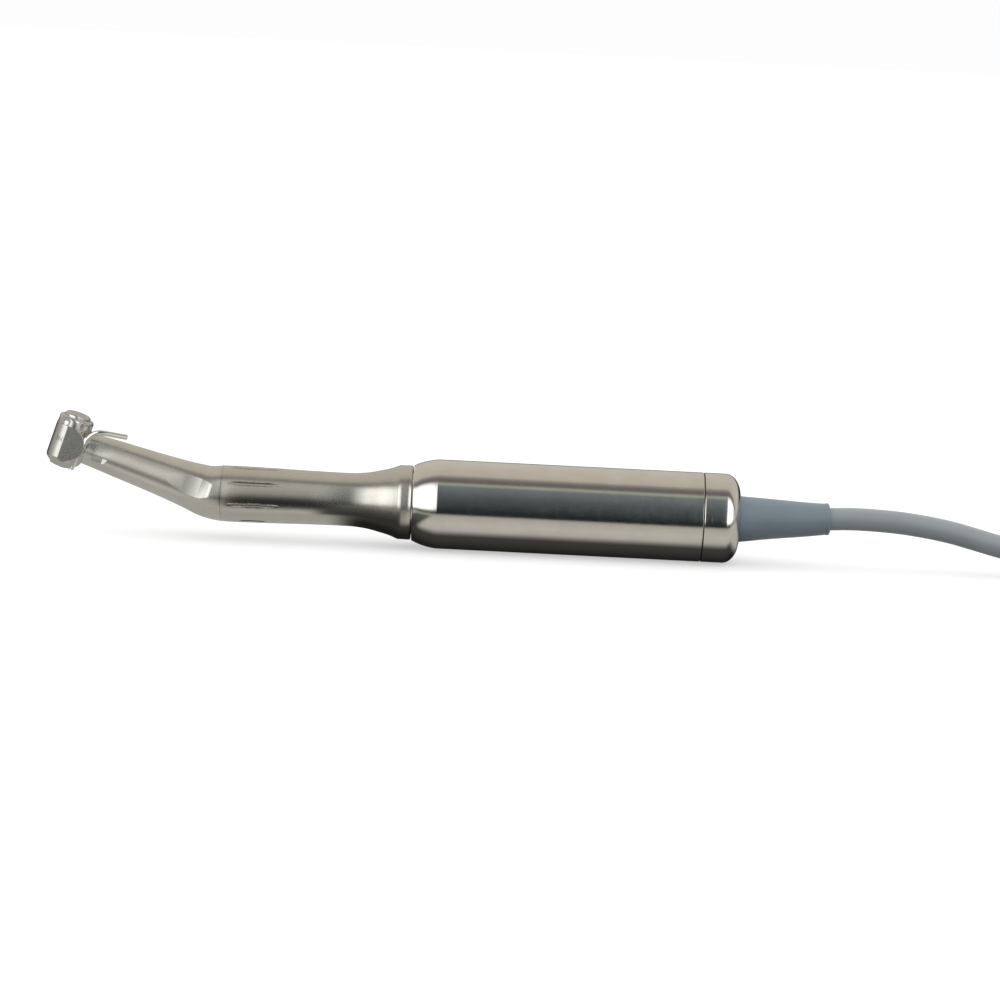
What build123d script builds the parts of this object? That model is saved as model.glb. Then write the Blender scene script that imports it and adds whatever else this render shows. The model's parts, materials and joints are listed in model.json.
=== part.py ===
from build123d import *
import math
import os

# An electric dental handpiece with its motor, cable and plug, drawn with its inside parts (mm).
# Motor and grip lie on X: the cable leaves towards +X, the bent neck and head lie towards -X
# and rise in +Z. The head frame has its origin where the neck axis meets the chuck axis.

os.makedirs("parts", exist_ok=True)

# ---------------------------------------------------------------- driving dimensions
RUN = 0.05                      # radial running clearance

MOTOR_R = 11.9                  # motor sleeve and rear cap
MOTOR_NOSE_R = 10.05            # sleeve radius at its front edge
X_FRONT = -42.0                 # front edge of the motor sleeve
X_SHOULDER = -35.4              # the nose taper ends here
X_NOSE_SEAT = -38.5             # shoulder in the sleeve behind the coupling nose
X_CAP_FRONT = 31.5              # front edge of the cap's inner skirt
X_REAR = 45.0                   # rear face of the cap
SEAM_HALF = 0.15                # half width of the gasket
X_SEAM0, X_SEAM1 = 35.1 - SEAM_HALF, 35.1 + SEAM_HALF
SLEEVE_BORE = 9.2
COLLAR_R, SPIGOT_R, NOSE_BORE = 8.0, 6.2, 3.6   # coupling nose
X_NOSE_STEP, X_NOSE_END = -46.0, -64.0
O_RINGS_X = (-52.0, -56.0, -60.0)

ROTOR_R = 1.5
MOTOR_BEARING_R = 5.0
FRONT_BEARING = (-34.5, -31.5)  # start and end along the bearing's axis
REAR_BEARING = (19.8, 22.8)
STATOR = (-22, 12)
WINDING_GAP = 0.15              # between the stator ends and the end windings
BULKHEAD = (27.5, 30.0)
SCREW_START, SCREW_R = 20.5, 0.8

X_SHEATH_END = -42.3            # motor end of the grip sheath
X_GRIP_END = -92.9              # joint between grip sheath and neck housing
GRIP_END_R = 7.42
GEAR_BORE = 6.45                # gearbox bore in the sheath
INPUT_R = 2.0
INPUT_TIP_R = 1.3               # seat of the first sun gear
INPUT_BEARING = (-69, -66)
CARRIER_BEARING_1 = (-87, -84.4)
CARRIER_BEARING_2 = (-91.5, -89.3)
X_RING_END, X_RING_START = -82.8, -70.4
OUTPUT_R, OUTPUT_TIP_R = 1.5, 1.2
X_OUTPUT_STEP, X_OUTPUT_END = -92, -94.9

BEND_X = -95.9                  # where the grip axis meets the neck axis
BEND_DEG = 17.2
BEND = math.radians(BEND_DEG)
NECK_LENGTH = 40.0              # bend to head axis
NECK_BORE = 3.3
NECK_SHAFT_R = 1.0
BEND_CAVITY_R = 4.4
SCOOP_R, SCOOP_Y = 42.0, 5.72

HEAD_R = 4.8
CHEEK_R, CHEEK_Y = 4.65, 4.62
HEAD_Z0, HEAD_Z1 = -4.4, 4.6
HEAD_BORE = 4.05
CAP_R, CAP_TOP = 4.75, 7.0
BUTTON_R, BUTTON_HUB_R, BUTTON_TOP = 3.45, 2.75, 7.9
BUR_R = 1.185                   # bore for a 2.35 mm latch-type bur shank
SPINDLE_R, COLLET_R = 1.85, 1.5
COLLET = (-2.6, 3.0)
LOW_BEARING, LOW_SEAT_R = (-5.7, -4.15), 3.25
TOP_BEARING, TOP_SEAT_R = (2.8, 3.9), 3.5

TUBE_R, TUBE_BORE, TUBE_Y = 0.69, 0.45, -3.9
CABLE_R, CABLE_BORE = 3.0, 2.35
PLUG_Z, PLUG_R, PLUG_CORE_R = -5.7, 6.0, 5.2
INSULATOR_R = 4.2

MODULE = 0.3                    # planetary gears
PRESSURE_ANGLE = math.radians(25.0)
SUN_TEETH, PLANET_TEETH, RING_TEETH = 12, 12, 36
BEND_TEETH, BEND_PITCH_R = 14, 2.9
PINION_TEETH, CROWN_TEETH, HEAD_MODULE = 12, 15, 0.4


# ---------------------------------------------------------------- frames
def frame(origin, x_dir, z_dir):
    return Plane(origin=origin, x_dir=x_dir, z_dir=z_dir).location


def across(x, z=0):
    """Frame at x facing +X; its first axis is +Y and its second is +Z."""
    return frame((x, 0, z), (0, 1, 0), (1, 0, 0))


def on_path(path, t):
    return Plane(origin=path @ t, z_dir=path % t).location


def between(start, end):
    """Frame midway between two points, its z axis along the line that joins them."""
    return Plane(origin=(start + end) * 0.5, z_dir=(end - start).normalized()).location


def polar(radius, degrees):
    return radius * math.cos(math.radians(degrees)), radius * math.sin(math.radians(degrees))


# head frame: x along the neck towards the bend, z along the chuck axis towards the button
HEAD = frame((BEND_X - NECK_LENGTH * math.cos(BEND), 0, NECK_LENGTH * math.sin(BEND)),
             (math.cos(BEND), 0, -math.sin(BEND)), (math.sin(BEND), 0, math.cos(BEND)))


# ---------------------------------------------------------------- shape helpers
def save(node, *shapes):
    shape = shapes[0] if len(shapes) == 1 else Compound(children=list(shapes))
    export_step(shape, f"parts/{node}.step")


def polygon(points):
    return make_face(Polyline(*points, close=True))


def turned(*points):
    """A body of revolution about X from a closed (x, r) outline."""
    return revolve(polygon(points), axis=Axis.X)


def ring(x0, x1, inner, outer):
    return turned((x0, inner), (x1, inner), (x1, outer), (x0, outer))


def rod(x0, x1, radius, y=0, z=0):
    return Pos((x0 + x1) / 2, y, z) * (Rot(0, 90, 0) * Cylinder(radius, x1 - x0))


def post(z0, z1, radius):
    return Pos(0, 0, (z0 + z1) / 2) * Cylinder(radius, z1 - z0)


def tube_z(z0, z1, inner, outer):
    return post(z0, z1, outer) - post(z0 - 1, z1 + 1, inner)


def chain(points):
    return [Line(start, end) for start, end in zip(points, points[1:])]


def smooth(curve, *rest):
    """Revolved about X from (x, r): a smooth curve, then straight lines back to its start."""
    edges = [Spline(*curve)] + chain([curve[-1], *rest, curve[0]])
    return revolve(make_face(edges), axis=Axis.X)


def smooth_z(lead, curve, tail):
    """Revolved about Z from (r, z): straight lines, a smooth curve, then lines to the start."""
    lead, curve, tail = ([(r, 0, z) for r, z in part] for part in (lead, curve, tail))
    edges = chain([*lead, curve[0]]) + [Spline(*curve)] + chain([curve[-1], *tail, lead[0]])
    return revolve(make_face(edges), axis=Axis.Z)


def spring(pitch, height, radius, wire_r):
    path = Helix(pitch, height, radius)
    return sweep(on_path(path, 0) * Circle(wire_r), path=path, is_frenet=True)


def bearing(x0, x1, inner, outer, count):
    """Outer ring with its balls, and the inner ring, about X."""
    gap = outer - inner
    ball_r = min(gap / 2 - gap * 0.26 - 0.04, (x1 - x0) / 2 - 0.1)
    wall = gap / 2 - ball_r - 0.04
    ball = Pos((x0 + x1) / 2, (inner + outer) / 2, 0)
    balls = [Rot(360 * k / count, 0, 0) * (ball * Sphere(ball_r)) for k in range(count)]
    return [ring(x0, x1, outer - wall, outer), *balls], ring(x0, x1, inner, inner + wall)


def bearing_z(z0, z1, inner, outer, count):
    outer_set, inner_race = bearing(z0, z1, inner, outer, count)
    turn = Rot(0, -90, 0)
    return [turn * shape for shape in outer_set], turn * inner_race


# ---------------------------------------------------------------- gear teeth
def involute(angle):
    return math.tan(angle) - angle


def flank(teeth, module, addendum, dedendum, thinning, steps=5):
    """Half outline of one involute tooth as (radius, half angle), from root to tip."""
    pitch_r = teeth * module / 2
    base_r = pitch_r * math.cos(PRESSURE_ANGLE)
    half = (math.pi * module / 2 - thinning) / 2 / pitch_r + involute(PRESSURE_ANGLE)
    root_r, tip_r = pitch_r - dedendum, pitch_r + addendum
    start = max(base_r, root_r)
    points = []
    if root_r < base_r:
        points.append((root_r, half))
    for i in range(steps + 1):
        r = start + (tip_r - start) * i / steps
        points.append((r, half - involute(math.acos(min(1, base_r / r)))))
    return points


def gear_outline(teeth, addendum, dedendum, thinning, phase):
    """Points of a whole planetary gear, teeth centred on phase + k * pitch."""
    points = []
    side = flank(teeth, MODULE, addendum, dedendum, thinning)
    for k in range(teeth):
        centre = math.radians(phase) + 2 * math.pi * k / teeth
        angles = [(r, centre - a) for r, a in side] + [(r, centre + a) for r, a in reversed(side)]
        points += [(r * math.cos(a), r * math.sin(a)) for r, a in angles]
    return points


def spur(teeth, x0, x1, phase):
    """A spur gear about X."""
    face = polygon(gear_outline(teeth, 0.9 * MODULE, 1.15 * MODULE, 0.03, phase))
    return across(x0) * extrude(face, x1 - x0)


def bevel(teeth, module, cone_deg, width, addendum, dedendum, thinning, phase, z_back, hub_r, bore):
    """A straight bevel gear: apex at the origin, body on +Z, a tooth at phase from +X."""
    cone = math.radians(cone_deg)
    sin_c, cos_c = math.sin(cone), math.cos(cone)
    cone_length = teeth * module / 2 / sin_c
    scale = (cone_length - width) / cone_length     # inner tooth end from the outer

    # tooth outline as (along the rim, outward from the pitch cone)
    virtual_teeth = teeth / cos_c
    virtual_r = virtual_teeth * module / 2
    side = flank(virtual_teeth, module, addendum, dedendum + 0.12, thinning)
    half = [(r * math.sin(a), r * math.cos(a) - virtual_r) for r, a in side]
    outline = [(-u, v) for u, v in half] + [(u, v) for u, v in reversed(half)]

    root_r = cone_length * sin_c - dedendum * cos_c
    root_z = cone_length * cos_c + dedendum * sin_c
    blank = [(bore, root_z * scale), (root_r * scale, root_z * scale), (root_r, root_z),
             (root_r, min(z_back, root_z + 0.6)), (hub_r, z_back), (bore, z_back)]
    body = revolve(polygon([(r, 0, z) for r, z in blank]), axis=Axis.Z)
    tooth_list = []
    for k in range(teeth):
        turn = math.radians(phase) + 2 * math.pi * k / teeth
        along = Vector(sin_c * math.cos(turn), sin_c * math.sin(turn), cos_c)
        outward = Vector(cos_c * math.cos(turn), cos_c * math.sin(turn), -sin_c)
        tangent = Vector(-math.sin(turn), math.cos(turn), 0)
        big_end = [along * cone_length + tangent * u + outward * v for u, v in outline]
        small_end = [point * scale for point in big_end]
        tooth_list.append(loft([polygon(big_end), polygon(small_end)], ruled=True))
    return body + tooth_list


# ---------------------------------------------------------------- motor: shells
# (x, r) from the front edge back to the shoulder
SLEEVE_CURVE = [(X_FRONT, MOTOR_NOSE_R), (-40.2, 10.83), (-38.2, 11.42), (-36.6, 11.74),
                (X_SHOULDER, MOTOR_R)]
save("motor_sleeve", smooth(
    SLEEVE_CURVE, (X_SEAM0, MOTOR_R), (X_SEAM0, SLEEVE_BORE), (X_NOSE_SEAT, SLEEVE_BORE),
    (X_NOSE_SEAT, COLLAR_R), (X_FRONT, COLLAR_R)))

# (x, r) of the rounded rear edge
CAP_CURVE = [(40.9, MOTOR_R), (42.3, 11.62), (43.5, 10.75), (44.4, 9.3), (44.9, 7.6), (X_REAR, 6.3)]
save("rear_cap", smooth(
    CAP_CURVE, (X_REAR, 4.6), (42, 4.6), (42, 8.2), (X_CAP_FRONT, 8.2),
    (X_CAP_FRONT, SLEEVE_BORE), (X_SEAM1, SLEEVE_BORE), (X_SEAM1, MOTOR_R)))
save("seam_gasket", ring(X_SEAM0, X_SEAM1, SLEEVE_BORE, 11.65))

# coupling nose with its O-ring grooves and its latch groove
nose = turned(
    (X_NOSE_END, NOSE_BORE), (X_NOSE_END, SPIGOT_R - 0.6), (X_NOSE_END + 0.6, SPIGOT_R),
    (X_NOSE_STEP, SPIGOT_R), (X_NOSE_STEP, COLLAR_R), (X_NOSE_SEAT, COLLAR_R),
    (X_NOSE_SEAT, SLEEVE_BORE), (-30.5, SLEEVE_BORE), (-30.5, MOTOR_BEARING_R),
    (FRONT_BEARING[0], MOTOR_BEARING_R), (FRONT_BEARING[0], NOSE_BORE))
for x in O_RINGS_X:
    nose -= ring(x - 0.5, x + 0.5, 5.33, 7)
nose -= turned((-48.8, 6.3), (-48.3, 5.7), (-47.5, 5.7), (-47.0, 6.3))
save("motor_nose", nose)
save("nose_o_rings", *[revolve(Pos(x, 5.78, 0) * Circle(0.44), axis=Axis.X) for x in O_RINGS_X])

# ---------------------------------------------------------------- motor: inside
slot_at = [Rot(60 * k, 0, 0) * Pos(sum(STATOR) / 2, 6.6, 0) for k in range(6)]
stator = ring(*STATOR, 4.5, SLEEVE_BORE)
for at in slot_at:
    stator -= at * Box(40, 2.6, 1.5)
save("stator_core", stator)

windings = [ring(STATOR[1] + WINDING_GAP, 17, 4.9, 8.4), ring(-27, STATOR[0] - WINDING_GAP, 4.9, 8.4)]
windings += [at * Box(33.9, 2.4, 1.3) for at in slot_at]
save("stator_windings", *windings)

front_outer, front_race = bearing(*FRONT_BEARING, ROTOR_R, MOTOR_BEARING_R, 8)
rear_outer, rear_race = bearing(*REAR_BEARING, ROTOR_R, MOTOR_BEARING_R, 8)
save("motor_bearings", *front_outer, *rear_outer)

# three screws tie the bulkhead, the sensor board and the bearing bracket together
bracket = ring(19.5, 23.2, MOTOR_BEARING_R, SLEEVE_BORE) + ring(REAR_BEARING[1], 23.2, 3.8, 6)
board = ring(24.6, 25.8, 2.4, 8.9)
bulkhead = ring(*BULKHEAD, 2.6, SLEEVE_BORE)
screws = []
for k in range(3):
    at = Rot(60 + 120 * k, 0, 0) * Pos(0, 7.3, 0)
    hole = at * rod(SCREW_START, 40, SCREW_R)
    bracket, board, bulkhead = bracket - hole, board - hole, bulkhead - hole
    screw = rod(SCREW_START, BULKHEAD[1], SCREW_R) + rod(BULKHEAD[1], 31.2, 1.5)
    screw -= Pos(31.1, 0, 0) * Box(1.0, 2.4, 0.35)
    screws.append(at * screw)
board = board + Pos(24.3, 0, 4.4) * Box(0.6, 2.4, 1.6) + Pos(24.3, 3.6, -2.6) * Box(0.6, 1.6, 1.6)
save("rear_bracket", bracket)
save("sensor_board", board)
save("rear_bulkhead", bulkhead)
save("bulkhead_screws", *screws)

# ---------------------------------------------------------------- cable, boot and plug
# cable centre line as (x, z)
CABLE_LINE = [
    (36.5, 0), (41, 0), (45, 0.02), (50.6, 0.3), (57, 0.55), (62.5, 0.75), (69.1, 1.15),
    (74.7, 1.45), (82.7, 1.36), (88, 1.07), (93.4, 0.5), (101.4, -0.75), (109.4, -2.65),
    (114.7, -3.95), (121.5, -5.2), (128, -5.65), (133, PLUG_Z), (141, PLUG_Z)]
cable_path = Spline(*[(x, 0, z) for x, z in CABLE_LINE], tangents=[(1, 0, 0), (1, 0, 0)])
cable_start = across(*CABLE_LINE[0])
cable_solid = sweep(cable_start * Circle(CABLE_R), path=cable_path)
save("cable", cable_solid - sweep(cable_start * Circle(CABLE_BORE), path=cable_path))
save("cable_conductors", *[
    sweep(cable_start * (Pos(*polar(1.2, 90 + 120 * k)) * Circle(0.85)), path=cable_path)
    for k in range(3)])

# boot stations as (x, z, radius): the long taper, then the bead at its end
BOOT_TAPER = [(45, 0.02, 6.15), (50.6, 0.3, 5.62), (57, 0.55, 5.07), (62.5, 0.75, 4.61),
              (68.0, 1.08, 4.17)]
BOOT_BEAD = [BOOT_TAPER[-1], (68.25, 1.1, 4.28), (68.65, 1.12, 4.28), (69.1, 1.15, 3.65)]
boot = loft([across(x, z) * Circle(r) for x, z, r in BOOT_TAPER])
boot += loft([across(x, z) * Circle(r) for x, z, r in BOOT_BEAD], ruled=True)
boot += rod(42, X_REAR, 4.6) + rod(40.4, 42, 5.8)
save("cable_boot", boot - cable_solid)
save("cable_clamp", rod(36.8, 39.6, 5.4) - cable_solid - Pos(38.2, 0, 4.6) * Box(4, 0.7, 4))

PLUG = Pos(0, 0, PLUG_Z)
relief = turned((128.5, 0), (128.5, 3.9), (136, 4.7), (138, 4.7), (138, 4.0), (142, 4.0), (142, 0))
save("plug_relief", PLUG * relief - cable_solid)

plug_body = PLUG * turned(
    (138, 4.0), (138, 5.6), (138.5, PLUG_R), (140, PLUG_R), (140, PLUG_CORE_R),
    (158.2, PLUG_CORE_R), (158.2, 5.0), (165.6, 5.0), (166, 4.7), (166, INSULATOR_R),
    (154, INSULATOR_R), (154, 4.0))
plug_body -= Pos(162, 0, PLUG_Z + 5.0) * Box(9, 1.2, 0.8)
save("plug_body", plug_body)

insulator = PLUG * rod(154, 161, INSULATOR_R)
pin_places = [(0, 0)] + [polar(2.3, 72 * k + 90) for k in range(5)]
plug_pins = [rod(150, 165, 0.45, y, PLUG_Z + z) for y, z in pin_places]
for pin in plug_pins:
    insulator -= pin
save("plug_insulator", insulator)
save("plug_pins", *plug_pins)

sleeve_bore = PLUG_CORE_R + RUN
plug_sleeve = turned((142.3, sleeve_bore), (142.3, 5.7), (142.7, PLUG_R), (157.6, PLUG_R),
                     (158, 5.7), (158, sleeve_bore))
for k in range(9):
    plug_sleeve -= ring(144 + 0.9 * k, 144.35 + 0.9 * k, 5.75, 7)
save("plug_sleeve", PLUG * plug_sleeve)

# ---------------------------------------------------------------- rotor line
save("rotor_shaft", rod(-55, 24, ROTOR_R) + rod(-46.5, -45.6, 2.7))
save("rotor_magnet", ring(-21, 11, ROTOR_R, 4.2))
input_outer, input_race = bearing(*INPUT_BEARING, INPUT_R, GEAR_BORE, 8)
save("rotor_bearing_races", front_race, rear_race, input_race)

# the dog's slot takes the tongue of the input shaft
dog = rod(-59.5, -53, 2.6) - rod(-56.5, -52, ROTOR_R + RUN) - Pos(-59, 0, 0) * Box(3.4, 6, 1.3)
save("drive_dog", dog)
input_shaft = rod(-70, -61, INPUT_R) + rod(-71, -70, 2.6) + rod(-74.8, -71, INPUT_TIP_R)
tongue = rod(-61.2, -57.8, INPUT_R) & Pos(-59.5, 0, 0) * Box(4, 6, 1.16)
save("input_shaft", input_shaft - rod(-75, -71.2, 0.9) + tongue)
save("first_sun_gear", spur(SUN_TEETH, -74.8, -71.2, 0) - rod(-75, -71, INPUT_TIP_R))
save("dog_spring", Pos(-52.7, 0, 0) * (Rot(0, 90, 0) * spring(1.15, 5.6, 1.95, 0.2)))

# ---------------------------------------------------------------- gearbox in the grip
ring_face = Circle(GEAR_BORE) - polygon(
    gear_outline(RING_TEETH, 1.15 * MODULE, 0.9 * MODULE, -0.03, phase=5))
save("ring_gear", across(X_RING_END) * extrude(ring_face, X_RING_START - X_RING_END))


def planet_stage(stage, gear0, gear1, plate0, plate1, pin_tip, *output):
    """Three planets, their pins, and the carrier plate joined to its output shapes."""
    places = [polar(MODULE * (SUN_TEETH + PLANET_TEETH) / 2, 120 * k) for k in range(3)]
    for name, (y, z) in zip("abc", places):
        gear = spur(PLANET_TEETH, gear0, gear1, 15) - rod(gear0 - 1, gear1 + 1, 0.65)
        save(f"planet_{stage}{name}", Pos(0, y, z) * gear)
    pins = [rod(plate0, pin_tip, 0.6, y, z) for y, z in places]
    carrier = rod(plate0, plate1, 4.85)
    for pin in pins:
        carrier -= pin
    for shape in output:
        carrier = carrier + shape
    save(f"carrier_{stage}", carrier)
    save(f"planet_pins_{stage}", *pins)


output_tip = rod(X_OUTPUT_END, X_OUTPUT_STEP, OUTPUT_TIP_R)
planet_stage(1, -74.7, -71.3, -76.6, -75.1, -71.1, spur(SUN_TEETH, -80.9, -76.6, 0))
planet_stage(2, -80.8, -77.1, X_RING_END, -81.2, -76.95,
             rod(X_OUTPUT_STEP, X_RING_END, OUTPUT_R), output_tip)

carrier_outer_1, carrier_race_1 = bearing(*CARRIER_BEARING_1, OUTPUT_R, GEAR_BORE, 9)
carrier_outer_2, carrier_race_2 = bearing(*CARRIER_BEARING_2, OUTPUT_R, GEAR_BORE, 9)
save("gearbox_bearings", *input_outer, *carrier_outer_1, *carrier_outer_2)
save("carrier_bearing_races", carrier_race_1, carrier_race_2)
SPACERS = [(CARRIER_BEARING_2[1], CARRIER_BEARING_1[0]), (CARRIER_BEARING_1[1], X_RING_END),
           (X_RING_START, INPUT_BEARING[0])]
save("gearbox_spacers", *[ring(x0, x1, 5.6, GEAR_BORE) for x0, x1 in SPACERS])

# bend gears: bevel gears whose shafts meet at the bend
BEND_MODULE = 2 * BEND_PITCH_R / BEND_TEETH
bend_pair = dict(
    teeth=BEND_TEETH, module=BEND_MODULE, cone_deg=90 - BEND_DEG / 2, width=1.0,
    addendum=0.7 * BEND_MODULE, dedendum=0.9 * BEND_MODULE, thinning=0.09, z_back=2.0, hub_r=2.2)
grip_gear = bevel(phase=180 / BEND_TEETH, bore=OUTPUT_TIP_R, **bend_pair)
save("bend_gear_grip", frame((BEND_X, 0, 0), (0, 0, 1), (1, 0, 0)) * grip_gear - output_tip)
neck_gear = bevel(phase=0, bore=NECK_SHAFT_R, **bend_pair)
save("bend_gear_neck", HEAD * (frame((NECK_LENGTH, 0, 0), (0, 0, 1), (-1, 0, 0)) * neck_gear))

# ---------------------------------------------------------------- neck line (head frame)
neck_shaft = rod(3.2, 38.9, NECK_SHAFT_R) + rod(8, 33, 1.3)
neck_outer_1, neck_race_1 = bearing(5.2, 7.0, NECK_SHAFT_R, NECK_BORE, 8)
neck_outer_2, neck_race_2 = bearing(34.2, 36.0, NECK_SHAFT_R, NECK_BORE, 8)
save("neck_shaft", HEAD * (neck_shaft + neck_race_1 + neck_race_2))

pinion_cone = math.degrees(math.atan(PINION_TEETH / CROWN_TEETH))
head_pair = dict(module=HEAD_MODULE, width=1.1, addendum=0.8 * HEAD_MODULE,
                 dedendum=1.05 * HEAD_MODULE, thinning=0.06)
pinion = bevel(teeth=PINION_TEETH, cone_deg=pinion_cone, phase=15, z_back=4.3, hub_r=1.8,
               bore=NECK_SHAFT_R, **head_pair)
save("head_pinion", HEAD * (frame((0, 0, 0), (0, 0, -1), (1, 0, 0)) * pinion))
crown = bevel(teeth=CROWN_TEETH, cone_deg=90 - pinion_cone, phase=0, z_back=3.9, hub_r=2.8,
              bore=SPINDLE_R, **head_pair)
save("crown_gear", HEAD * (frame((0, 0, 0), (1, 0, 0), (0, 0, -1)) * crown))

# ---------------------------------------------------------------- chuck (head frame)
spindle = post(-6.9, 5.3, SPINDLE_R) - post(-7, 4.1, BUR_R) - post(*COLLET, COLLET_R)
spindle -= Pos(0, 0, 4.9) * Box(6, 0.6, 1.2)
spindle = spindle + tube_z(-4.1, -3.9, SPINDLE_R, 2.3)
collet = tube_z(*COLLET, BUR_R, COLLET_R)
collet = collet - Pos(1.3, 0, 0) * Box(1.2, 0.35, 4.4) - Pos(0, 0, 4.0) * Box(0.3, 4, 4)
save("chuck_collet", HEAD * collet)

low_outer, low_race = bearing_z(*LOW_BEARING, SPINDLE_R, LOW_SEAT_R, 9)
top_outer, top_race = bearing_z(*TOP_BEARING, SPINDLE_R, TOP_SEAT_R, 9)
save("neck_and_head_bearings",
     *[HEAD * shape for shape in neck_outer_1 + neck_outer_2 + low_outer + top_outer])
save("chuck_spindle", HEAD * (spindle + low_race + top_race))

# ---------------------------------------------------------------- irrigation line (head frame)
# the tube curves up from the head, then runs straight towards the bend
TUBE_POINTS = [(4.3, TUBE_Y, 1.2), (4.75, TUBE_Y, 3.2), (6.3, TUBE_Y, 5.3), (8.5, TUBE_Y, 6.03)]
tube_bend = Spline(*TUBE_POINTS, tangents=[(0.1, 0, 1), (5.9, 0, 1.0)])
tube_path = Wire([tube_bend, Line(TUBE_POINTS[-1], (14.4, TUBE_Y, 7.03))])
tube_start = on_path(tube_path, 0)
tube_full = sweep(tube_start * Circle(TUBE_R), path=tube_path)
save("irrigation_tube", HEAD * (tube_full - sweep(tube_start * Circle(TUBE_BORE), path=tube_path)))
clip = on_path(tube_bend, 0.22) * Cylinder(0.98, 0.9)
save("tube_clip", HEAD * (clip - tube_full))

nozzle_top, nozzle_tip = Vector(3.5, -2.95, -2.6), Vector(3.2, -2.6, -6.35)
nozzle_at = between(nozzle_top, nozzle_tip)
nozzle_full = nozzle_at * Cylinder(0.55, (nozzle_tip - nozzle_top).length)
save("spray_nozzle", HEAD * (nozzle_full - nozzle_at * Cylinder(0.32, 12)))
# drilling in the head from the tube to the nozzle
channel_top = Vector(4.3, TUBE_Y, 1.3)
channel = between(channel_top, nozzle_top) * Cylinder(0.3, (nozzle_top - channel_top).length)

# ---------------------------------------------------------------- head (head frame)
# (r, z) of the rounded underside
UNDERSIDE = [(0, -6.6), (3.25, -6.6), (3.3, -6.2), (3.7, -5.93), (4.1, -5.6), (4.42, -5.25),
             (4.65, -4.85), (HEAD_R, HEAD_Z0), (0, HEAD_Z0)]
head = post(HEAD_Z0, HEAD_Z1, HEAD_R)
head += revolve(polygon([(r, 0, z) for r, z in UNDERSIDE]), axis=Axis.Z)
head += rod(0, 4.98, 4.35)
head = head & Box(20, 2 * CHEEK_Y, 20)
cheek = Rot(90, 0, 0) * Cylinder(CHEEK_R, 2 * CHEEK_Y)
cheek = chamfer(cheek.edges().filter_by(GeomType.CIRCLE), 0.18)
head += cheek & Pos(10, 0, 0) * Box(20, 20, 20)
head = head & Pos(0, 0, HEAD_Z1 - 10) * Box(30, 30, 20)
head -= post(-4.1, 5, HEAD_BORE)
head -= post(LOW_BEARING[0], 0, LOW_SEAT_R)
head -= post(-7, 0, 2.35)
head -= rod(0, 6, NECK_BORE)
head -= tube_full + clip + nozzle_full
head -= channel
# four small upright slots on the side away from the neck
for k in range(4):
    slot = Pos(4.8, -1.2 + 0.8 * k, 0) * Box(0.12, 0.16, 0.9)
    head -= Pos(0, 0, 1.9) * (Rot(0, 0, 180) * slot)
save("head_housing", HEAD * head)

cap = smooth_z([(TOP_SEAT_R, HEAD_Z1), (CAP_R, HEAD_Z1)],
               [(CAP_R, 5.9), (4.66, 6.4), (4.4, 6.78), (3.95, CAP_TOP)],
               [(TOP_SEAT_R, CAP_TOP)])
cap += tube_z(TOP_BEARING[0], HEAD_Z1, TOP_SEAT_R, HEAD_BORE)+ tube_z(3.9, 4.1, 2.75, 3.6)
for k in range(6):
    cap -= Rot(0, 0, 5.5 + 60 * k) * (Pos(6.2, 0, 5.75) * Sphere(1.9))
save("head_cap", HEAD * cap)

button = smooth_z([(0, 6.9), (BUTTON_HUB_R, 6.9), (BUTTON_HUB_R, 4.95), (BUTTON_R, 4.95)],
                  [(BUTTON_R, 7.45), (3.35, 7.7), (3.05, 7.86), (2.7, BUTTON_TOP)],
                  [(0, BUTTON_TOP)])
save("push_button", HEAD * button)
save("button_spring", HEAD * (Pos(0, 0, 4.27) * spring(0.9, 2.5, 2.35, 0.15)))

# ---------------------------------------------------------------- neck housing
# (x in the head frame, half width across the flanks, half height)
NECK_STATIONS = [
    (5.0, 4.35, 4.35), (9, 4.53, 4.53), (12.5, 4.75, 4.75), (17.1, 5.0, 5.0),
    (22.7, 5.32, 5.3), (28.4, 5.78, 5.68), (34.0, 6.72, 6.2), (37.6, 7.22, 6.68)]
halfway = (math.cos(BEND / 2), 0, -math.sin(BEND / 2))
neck = loft([HEAD * (across(x) * Ellipse(width, height)) for x, width, height in NECK_STATIONS]
            + [frame((BEND_X, 0, 0), (0, 1, 0), halfway) * Ellipse(7.4, 7.08),
               across(X_GRIP_END) * Circle(GRIP_END_R)])
neck = neck + ring(X_GRIP_END - 0.2, -91.6, 5.3, GEAR_BORE)
neck -= HEAD * rod(4, 37, NECK_BORE)
neck -= Pos(BEND_X, 0, 0) * Sphere(BEND_CAVITY_R)
neck -= rod(BEND_X, -90, BEND_CAVITY_R)
for side in (-1, 1):
    # shallow scoop beside the bend, on both flanks, with an upright end wall
    cutter = Pos(29, side * (SCOOP_Y + SCOOP_R), 0) * Cylinder(SCOOP_R, 16)
    cutter = cutter & Pos(34, side * 8, 0) * Box(11.8, 8, 16)
    neck -= HEAD * (Rot(side * 9, 0, 0) * cutter)
    # small rectangular pocket behind the head
    neck -= HEAD * (Pos(9.0, side * 5.0, -1.25) * Box(3.4, 2.2, 1.5))
neck -= HEAD * (tube_full + clip)
# two fine grooves on the -Y flank, near the head
for x in (6.9, 7.35):
    neck -= HEAD * (ring(x, x + 0.12, 4.36, 6) & Pos(7, -4, 1.25) * Box(3, 4, 2.6))
save("neck_housing", neck)

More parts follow.
